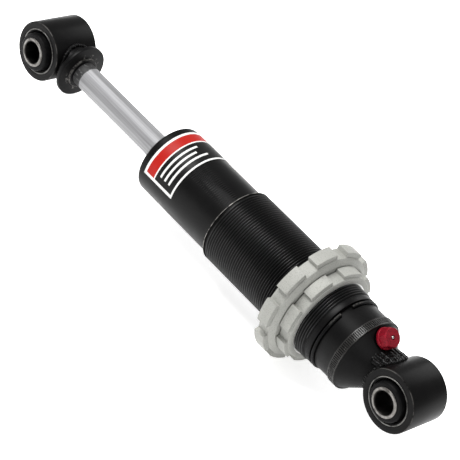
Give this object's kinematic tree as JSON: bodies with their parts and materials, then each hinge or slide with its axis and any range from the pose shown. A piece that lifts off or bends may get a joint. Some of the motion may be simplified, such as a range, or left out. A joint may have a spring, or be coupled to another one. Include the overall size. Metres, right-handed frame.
{
  "type": "rear shock",
  "caption": "Gas-charged coil-over rear shock without its spring: threaded black body, castellated preload and lock rings, plated rod and a rubber bush at each end.",
  "frame": {"origin": "centre of the body eye's bolt bore", "axes": "+X along the shock from the body eye to the rod eye, +Y along the bolt bores, +Z towards the gas valve's side"},
  "size_m": [0.323, 0.0682, 0.0682],
  "materials": {
    "black_paint": "satin",
    "seal_rubber": "matt",
    "bush_rubber": "matt",
    "spring_steel": "satin",
    "bush_steel": "satin",
    "plated_steel": "satin",
    "red_anodised": "anodised",
    "brass": "satin",
    "chromed_rod": "ground and plated",
    "bare_aluminium": "machined",
    "bronze": "sintered",
    "ptfe": "matt",
    "cast_ring": "as cast, matt",
    "label_film": "printed film"
  },
  "bodies": {
    "damper_body": {"body_tube": "black_paint", "end_cap": "black_paint", "end_cap_oring": "seal_rubber", "snap_ring": "spring_steel", "body_eye": "black_paint", "body_eye_weld": "black_paint", "body_bush_shell": "bush_steel", "body_bush_rubber": "bush_rubber", "valve_washer": "seal_rubber", "valve_plug": "red_anodised", "valve_core": "brass", "seal_head": "bare_aluminium", "seal_head_oring": "seal_rubber", "rod_bushing": "bronze", "rod_seal": "seal_rubber", "rod_wiper": "seal_rubber", "head_circlip": "spring_steel", "dust_cap": "black_paint", "label": "label_film"},
    "piston_slider": {"piston_band": "ptfe"},
    "rod_assembly": {"rod": "chromed_rod", "rod_flange": "black_paint", "rod_eye": "black_paint", "rod_eye_weld": "black_paint", "rod_bush_shell": "bush_steel", "rod_bush_rubber": "bush_rubber", "top_out_bumper": "seal_rubber", "piston_washers": "plated_steel", "compression_shims": "spring_steel", "rebound_shims": "spring_steel", "piston": "bare_aluminium", "piston_nut": "plated_steel"},
    "gas_piston": {"floating_piston": "bare_aluminium", "floating_piston_oring": "seal_rubber"},
    "lock_collar": {"lock_ring": "cast_ring"},
    "preload_collar": {"preload_ring": "cast_ring"},
    "body_sleeve": {"body_bush_sleeve": "plated_steel"},
    "rod_sleeve": {"rod_bush_sleeve": "plated_steel"},
    "valve_stem": {"valve_pin": "plated_steel"}
  },
  "joints": [
    {"name": "rod_slide", "type": "slide", "parent": "damper_body", "child": "piston_slider", "axis": [1, 0, 0], "range_m": [-0.06, 0], "stiffness_N_per_m": 900, "springref_m": 0.17},
    {"name": "rod_swivel", "type": "hinge", "parent": "piston_slider", "child": "rod_assembly", "pos_m": [0.25, 0, 0], "axis": [1, 0, 0], "continuous": true},
    {"name": "gas_piston_slide", "type": "slide", "parent": "damper_body", "child": "gas_piston", "axis": [1, 0, 0], "range_m": [-0.0095, 0]},
    {"name": "preload_adjust", "type": "slide", "parent": "damper_body", "child": "preload_collar", "axis": [1, 0, 0], "range_m": [-0.006, 0.048]},
    {"name": "lock_follow", "type": "slide", "parent": "damper_body", "child": "lock_collar", "axis": [1, 0, 0], "range_m": [-0.006, 0.048]},
    {"name": "body_bush_twist", "type": "hinge", "parent": "damper_body", "child": "body_sleeve", "pos_m": [0, 0, 0], "axis": [0, 1, 0], "range_deg": [-18, 18], "stiffness_Nm_per_rad": 2},
    {"name": "rod_bush_twist", "type": "hinge", "parent": "rod_assembly", "child": "rod_sleeve", "pos_m": [0.29001, 0, 0], "axis": [0, 1, 0], "range_deg": [-18, 18], "stiffness_Nm_per_rad": 2},
    {"name": "valve_press", "type": "slide", "parent": "damper_body", "child": "valve_stem", "axis": [0.6756, 0, -0.7373], "range_m": [0, 0.0008], "stiffness_N_per_m": 300, "springref_m": -0.001}
  ],
  "couplings": [
    {"joint": "gas_piston_slide", "follows": "rod_slide", "ratio": 0.15124},
    {"joint": "lock_follow", "follows": "preload_adjust", "ratio": 1}
  ]
}
